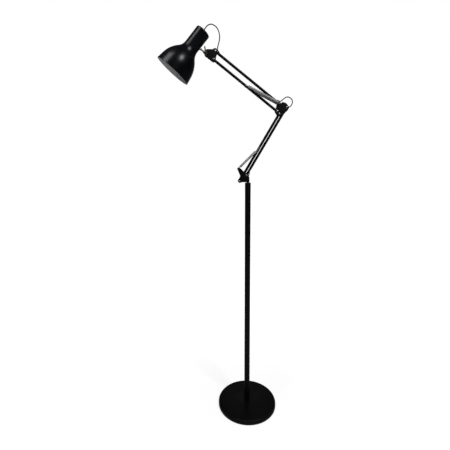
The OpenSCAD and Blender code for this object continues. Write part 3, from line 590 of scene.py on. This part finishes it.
spigot_low, spigot_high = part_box("spigot")[0][2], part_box("spigot")[1][2]
spigot = rounded([[0.0025, spigot_low, 0.0002], [0.0045, spigot_low, 0.0004], [0.0045, post_top + 0.0004, 0],
                  [0.0065, post_top + 0.0004, 0.0003], [0.0065, post_top + 0.0014, 0.0003],
                  [0.0045, post_top + 0.0014, 0], [0.0045, spigot_high, 0.0004], [0.0025, spigot_high, 0.0002]])
fit_on(make("swivel_spigot", turned(spigot, (0, 0, 0), (0, 0, 1), 40, loop=True)), "swivel", blued,
       "black_oxide_steel", "spigot")
block_low, block_high = (np.array(c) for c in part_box("bracket_foot"))
block = rounded([[block_low[0], block_low[2], 0.001], [block_high[0], block_low[2], 0.001],
                 [block_high[0], block_high[2], 0.001], [block_low[0], block_high[2], 0.001]])
fit_on(make("swivel_block", pressed(block, block_low[1], block_high[1], 0.0005)), "swivel", coat, "black_paint",
       "bracket_foot")

# ---- Balance springs ----
# Four close-wound tension springs of bright steel wire hang between studs on the
# brackets and pins through the lower rods. Each ends in a hook that closes round
# its pin. Each spring is made of its two hooks and a few lengths of coil, which stay
# in the rest pose.
wire_radius, coil_radius, side_gap = 0.0007, 0.0041, 0.00038
spring_y = plate_out + coil_radius + wire_radius + side_gap
eye_radius = shank + 0.0002 + wire_radius
spring_steel = finish("spring_steel", (0.84, 0.84, 0.85), (0.72, 0.72, 0.73), 0.3, (0.42, 0.55), 1500, 0.00001,
                      patches=140.0)


def hook_path(start, along, reach):
    """The wire from its open end round the pin to the start of the coil. A long hook is a small ring
    with a straight shank on the axis; a short one is a loop as wide as the coil, which hangs on the
    pin by its far side."""
    up = np.array([-along[2], 0, along[0]])
    if reach > 0.008:
        ring = np.radians(np.linspace(-300, -25, 12))
        x = np.r_[eye_radius * np.cos(ring), eye_radius + 0.0022, reach - 0.0032, reach - 0.0008, reach]
        z = np.r_[eye_radius * np.sin(ring), 0.0, 0.0, coil_radius * 0.55, coil_radius]
    else:
        ring = np.radians(np.linspace(20, -270, 14))
        x = np.r_[coil_radius - wire_radius - shank + coil_radius * np.cos(ring), reach]
        z = np.r_[coil_radius * np.sin(ring), coil_radius]
    return smooth_route(start + x[:, None] * along + z[:, None] * up, 4)


def coil_path(start, along, first, last, turns, share):
    """A share of the coil's helix: the axis point moves evenly from first to last while the wire
    goes round it, one turn at a time."""
    up = np.array([-along[2], 0, along[0]])
    t = np.linspace(*share, int(turns * (share[1] - share[0])) * 14 + 1)[:, None]
    angle = 2 * math.pi * turns * t
    return (start + along * (first + (last - first) * t)
            + coil_radius * (up * np.cos(angle) + np.array([0, 1.0, 0]) * np.sin(angle)))


def follow(piece):
    """Bakes the piece's placement into its mesh; it is not blended between bodies and stays in the rest pose."""
    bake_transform(piece)


for name, bodies, top, pin, first, tail, turns, weights in (
    ("lower_spring", ("swivel", "lower_link"), horn, lower_hook, 0.012, 0.020, 55.5, (0.32, 0.60, 0.80, 0.90)),
    ("upper_spring", ("elbow", "upper_link"), elbow_main, upper_hook, 0.0055, 0.012, 85.5, (0.12, 0.75, 0.88, 0.93)),
):
    span, along = np.linalg.norm(pin - top), unit(pin - top)
    last = span - tail
    knots = np.r_[0, np.linspace(first, last, len(weights)), span]
    for side, sign in (("front", -1), ("rear", 1)):
        start = top + [0, sign * spring_y, 0]
        end = pin + [0, sign * spring_y, 0]
        for k in range(len(knots) - 1):
            if k == 0:
                shell = carried(hook_path(start, along, first), wire_radius, 10)
            elif k == len(knots) - 2:
                shell = carried(hook_path(end, -along, tail), wire_radius, 10)
            else:
                share = ((k - 1) / (len(knots) - 3), k / (len(knots) - 3))
                shell = carried(coil_path(start, along, first, last, turns, share), wire_radius, 8, along)
            piece = make(f"{name}_{side}_{k}", shell)
            piece.data.materials.append(spring_steel)
            if k == 1:
                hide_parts(f"{name}_{side}")
            follow(piece)

# ---- Rods ----
# The four rods are round steel tubes with rounded ends and a flanged nylon bush at
# each pivot. The main rods have a slot near each end for the lead. Their frame
# nodes have the true shape and take the coat and the nylon as they are.
for node in ("lower_main_rod", "lower_link_rod", "upper_main_rod", "upper_link_rod"):
    frame["nodes"][node].data.materials.clear()
    frame["nodes"][node].data.materials.append(coat)
for node in ("lower_main_bushes", "lower_link_bushes", "upper_main_bushes", "upper_link_bushes"):
    frame["nodes"][node].data.materials.clear()
    frame["nodes"][node].data.materials.append(nylon)

# ---- Tilt clamp ----
# A bolt through the head bracket carries a turned block, which holds the shade's
# stem. A cast wing nut on the front end of the bolt clamps it.
block_half = plate_in - 0.0003
drum = rounded([[0.0026, -block_half, 0.0003], [0.006, -block_half, 0.0008], [0.006, block_half, 0.0008],
                [0.0026, block_half, 0.0003]])
boss_radius = block_half - 0.001
boss = rounded([[0.001, 0.0, 0], [boss_radius, 0.0, 0], [boss_radius, 0.011, 0.0008], [0.00305, 0.011, 0.0003],
                [0.00305, 0.0056, 0], [0.001, 0.0056, 0]])[:-1]
fit_on(make("tilt_clamp_block", turned(drum, tilt, (0, 1, 0), 48, loop=True), turned(boss, tilt, stem_dir, 48)),
       "tilt_block", zinc, "bright_steel", "tilt_block")

bolt_out, bolt_back = -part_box("tilt_bolt")[0][1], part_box("tilt_bolt")[1][1]
thread = np.arange(0, 0.009, 0.00025)
crest = 0.0024 + 0.00012 * np.cos(thread / 0.0008 * 2 * math.pi)
bolt = np.vstack([
    rounded([[0.0008, bolt_back, 0], [0.0045, bolt_back, 0.0006], [0.0045, plate_out + 0.00002, 0.0003],
             [0.0025, plate_out + 0.00002, 0], [0.0025, 0.009 - bolt_out, 0]])[:-1],
    np.stack([crest, 0.009 - bolt_out - thread, 0 * thread], 1),
    [[0.0019, -bolt_out, 0], [0.0008, -bolt_out, 0]]])
fit_on(make("tilt_clamp_bolt", turned(bolt, tilt, (0, 1, 0), 40)), "head", zinc, "bright_steel", "tilt_bolt")

cast_black = finish("wing_nut_black", (0.004, 0.004, 0.0045), (0.008, 0.008, 0.0085), 0.0, (0.34, 0.5), 800, 0.00005,
                    wear=0.15, bare=(0.4, 0.4, 0.4))
nut_y = plate_out + 0.0011
hub = rounded([[0.00255, nut_y, 0.0002], [0.005, nut_y, 0.0004], [0.0042, nut_y + 0.007, 0.001],
               [0.00255, nut_y + 0.007, 0.0002]])
wing = rounded([[0.003, nut_y + 0.0008, 0.0003], [0.006, nut_y + 0.0008, 0.002], [0.019, nut_y + 0.005, 0.003],
                [0.021, nut_y + 0.012, 0.003], [0.015, nut_y + 0.0125, 0.003], [0.006, nut_y + 0.0064, 0.003],
                [0.003, nut_y + 0.0064, 0.0003]])
wing_dir = heading(98)
wings = [pressed(wing, -0.0025, 0.0025, 0.001, tilt, (side * wing_dir, (0, -1, 0), heading(8)))
         for side in (1, -1)]
fit_on(make("clamp_wing_nut", turned(hub, tilt, (0, -1, 0), 40, loop=True), *wings), "wing_nut", cast_black,
       "wing_nut_black", "wing_nut")

# ---- Shade ----
# The shade is spun from one sheet of aluminium: a straight cap, a hollow flare, a
# round shoulder and a short skirt with a rolled rim. Outside it is a deep blue
# black gloss, inside a satin silver white. A steel stem through the cap's side
# carries it, with a round collar outside and a nut inside.
cap_radius, cap_length, flare_radius, bell_radius = 0.02925, 0.072, 0.0475, 0.110
flare_angle, skirt_angle, shade_length, wall = math.radians(42), math.radians(8.5), 0.190, 0.001
flare_end = np.array([cap_length + flare_radius * math.sin(flare_angle),
                      cap_radius + flare_radius * (1 - math.cos(flare_angle))])
bell_middle = flare_end + bell_radius * np.array([math.sin(flare_angle), -math.cos(flare_angle)])
skirt_start = bell_middle + bell_radius * np.array([-math.sin(skirt_angle), math.cos(skirt_angle)])
rim_radius = skirt_start[1] + (shade_length - skirt_start[0]) * math.tan(skirt_angle)


def shade_line(inset):
    """The shade's section moved inwards by inset: three arcs that touch each other, the cap's
    corner, the hollow flare and the bell, then the straight skirt."""
    k = np.linspace(0, 1, 9)[:, None]
    corner = math.pi / 2 * (1 - k)
    edge = 0.004
    cap = np.hstack([cap_radius - edge + (edge - inset) * np.cos(corner),
                     edge - (edge - inset) * np.sin(corner), np.sin(2 * corner)])
    k = np.linspace(0, 1, 20)[:, None]
    sweep = flare_angle * k
    flare = np.hstack([cap_radius + flare_radius - (flare_radius + inset) * np.cos(sweep),
                       cap_length + (flare_radius + inset) * np.sin(sweep), 0 * sweep])
    k = np.linspace(0, 1, 30)[1:, None]
    sweep = flare_angle + (skirt_angle - flare_angle) * k
    bell = np.hstack([bell_middle[1] + (bell_radius - inset) * np.cos(sweep),
                      bell_middle[0] - (bell_radius - inset) * np.sin(sweep), 0 * sweep])
    return np.vstack([cap, flare, bell])


bead_middle = np.array([rim_radius - 0.0011, shade_length - 0.0011])
bead = np.radians(np.linspace(0, 200, 14))[:, None]
roll = np.hstack([bead_middle[0] + 0.0011 * np.cos(bead), bead_middle[1] + 0.0011 * np.sin(bead), 0.8 * np.sin(bead)])
back_hole = 0.0051
outside = np.vstack([[[back_hole, 0, 0]], shade_line(0)])
lining = np.vstack([[[back_hole, wall, 0]], shade_line(wall)])
section = np.vstack([outside, roll, lining[::-1]])
skin, bend, loop = turned(section, cap_back, shade_dir, 144, loop=True)
shade = make("shade_spinning", (skin, bend, loop))
lined = np.repeat(np.arange(len(section)) >= len(outside) + len(roll) - 4, skin.shape[1])
shade.data.attributes.new("lining", "FLOAT", "POINT").data.foreach_set("value", lined.astype(np.float32))

shade_paint = finish("shade_paint", (0.0004, 0.0010, 0.0032), (0.0008, 0.0016, 0.0044), 0.0, (0.27, 0.33), 260,
                     0.00002, patches=14.0, shine=0.4)
tree = shade_paint.node_tree
shader = next(n for n in tree.nodes if n.type == "BSDF_PRINCIPLED")
lining_mask = add_node(tree, "ShaderNodeAttribute", attribute_name="lining").outputs["Fac"]
outer_tone = shader.inputs["Base Color"].links[0].from_socket
tone = add_node(tree, "ShaderNodeMix", {"Factor": lining_mask, "A": outer_tone, "B": (0.94, 0.95, 0.96, 1)},
                data_type="RGBA")
outer_rough = shader.inputs["Roughness"].links[0].from_socket
rough = add_node(tree, "ShaderNodeMix", {"Factor": lining_mask, "A": outer_rough, "B": 0.45}, data_type="FLOAT")
tree.links.new(tone.outputs["Result"], shader.inputs["Base Color"])
tree.links.new(rough.outputs["Result"], shader.inputs["Roughness"])
fit_on(shade, "shade", shade_paint, "shade_paint", "shade")

chrome = finish("chrome_stem", (0.60, 0.58, 0.57), (0.52, 0.50, 0.50), 0.45, (0.24, 0.34), 1200, 0.000005,
                patches=110.0)
stem_from, stem_to = 0.006, stem_reach - cap_radius + wall + 0.005
stem = rounded([[0.0008, stem_from, 0], [0.003, stem_from, 0.0004], [0.003, stem_to, 0.0004], [0.0008, stem_to, 0]])
collar_low, collar_high = stem_reach - cap_radius - 0.0051, stem_reach - cap_radius - 0.0001
collar = rounded([[0.00298, collar_low, 0], [0.0048, collar_low, 0.0006], [0.0055, collar_high - 0.002, 0.0005],
                  [0.0055, collar_high, 0.0004], [0.00298, collar_high, 0]])
fit_on(make("shade_stem", turned(stem, tilt, stem_dir, 40), turned(collar, tilt, stem_dir, 48, loop=True)),
       "shade", chrome, "chrome_stem", "stem")

grip = rounded([[0.0025, -grip_length, 0.0002], [0.0036, -grip_length, 0.0005], [0.0045, -0.002, 0.0003], [0.0065, -0.002, 0.0006],
                [0.0065, -0.00002, 0.0002], [0.00502, -0.00002, 0], [0.00502, -0.0012, 0], [0.0025, -0.0012, 0]])
fit_on(make("cap_cord_grip", turned(grip, cap_back, shade_dir, 40, loop=True)), "shade", rubber, "black_rubber",
       "cord_grip")

# ---- Lampholder and bulb ----
# A moulded black lampholder with a ribbed skirt stands inside the cap on its
# threaded nipple, and a round opal bulb is screwed into its brass shell.
moulded = finish("holder_plastic", (0.022, 0.021, 0.021), (0.03, 0.03, 0.03), 0.0, (0.3, 0.42), 420, 0.00004)
ribs = [[0.0185 - 0.0008 * (k % 2), 0.0465 + 0.0009 * (k // 2 + k % 2 * 0.5), 0.0002] for k in range(8)]
holder = rounded([[0.003, -0.001, 0.0002], [0.005, -0.001, 0.0003], [0.005, 0.003, 0], [0.011, 0.003, 0.001],
                  [0.017, 0.011, 0.002], [0.017, 0.046, 0.0003], *ribs, [0.0185, 0.052, 0.0008],
                  [0.01422, 0.052, 0.0005], [0.01422, 0.024, 0.0003], [0.003, 0.024, 0.0003]])
fit_on(make("ribbed_lampholder", turned(holder, cap_back, shade_dir, 64, loop=True)), "shade", moulded,
       "holder_plastic", "lampholder")

opal = finish("opal_glass", (0.86, 0.86, 0.84), (0.90, 0.90, 0.88), 0.0, (0.16, 0.24), 120, 0.00002, patches=30.0)
ball = np.radians(np.linspace(-55, 88, 34))
outer_bulb = np.vstack([[[0.0126, 0.056], [0.0126, 0.0635], [0.0131, 0.069], [0.0148, 0.0745]],
                        np.stack([0.030 * np.cos(ball), 0.103 + 0.030 * np.sin(ball)], 1)])
inner_bulb = np.vstack([[[0.0116, 0.056], [0.0116, 0.0636], [0.0121, 0.0694], [0.0139, 0.0751]],
                        np.stack([0.029 * np.cos(ball), 0.103 + 0.029 * np.sin(ball)], 1)])
bulb = np.vstack([outer_bulb, inner_bulb[::-1]])
bulb = np.hstack([bulb, np.zeros((len(bulb), 1))])
fit_on(make("opal_bulb", turned(bulb, cap_back, shade_dir, 72, loop=True)), "shade", opal, "opal_glass", "bulb_glass")

# ---- Pieces inside ----
# The ballast, the bolts and washers under the post, the clip on the spigot, and the
# lampholder's shell and the bulb's cap keep their frame shapes and take the finish
# of their slot.
inner_finish = {
    "ballast_iron": finish("ballast_iron", (0.05, 0.05, 0.052), (0.09, 0.08, 0.075), 0.6, (0.6, 0.8), 260, 0.0002),
    "floor_pad": finish("floor_pad", (0.03, 0.03, 0.03), (0.05, 0.05, 0.05), 0.0, (0.8, 0.95), 900, 0.0002),
    "brass_thread": finish("brass_thread", (0.60, 0.44, 0.20), (0.48, 0.34, 0.15), 1.0, (0.25, 0.4), 900, 0.00001),
    "bulb_cap_aluminium": finish("bulb_cap_aluminium", (0.62, 0.62, 0.63), (0.5, 0.5, 0.51), 1.0, (0.28, 0.42), 900,
                                 0.00001),
    "zinc_steel": plain_steel,
    "black_oxide_steel": blued,
    "bright_steel": zinc,
}
for part in frame["record"]["subparts"]:
    node = frame["nodes"][part["node"]]
    if part["material_slot"] in inner_finish and not node.hide_render:
        node.data.materials.clear()
        node.data.materials.append(inner_finish[part["material_slot"]])
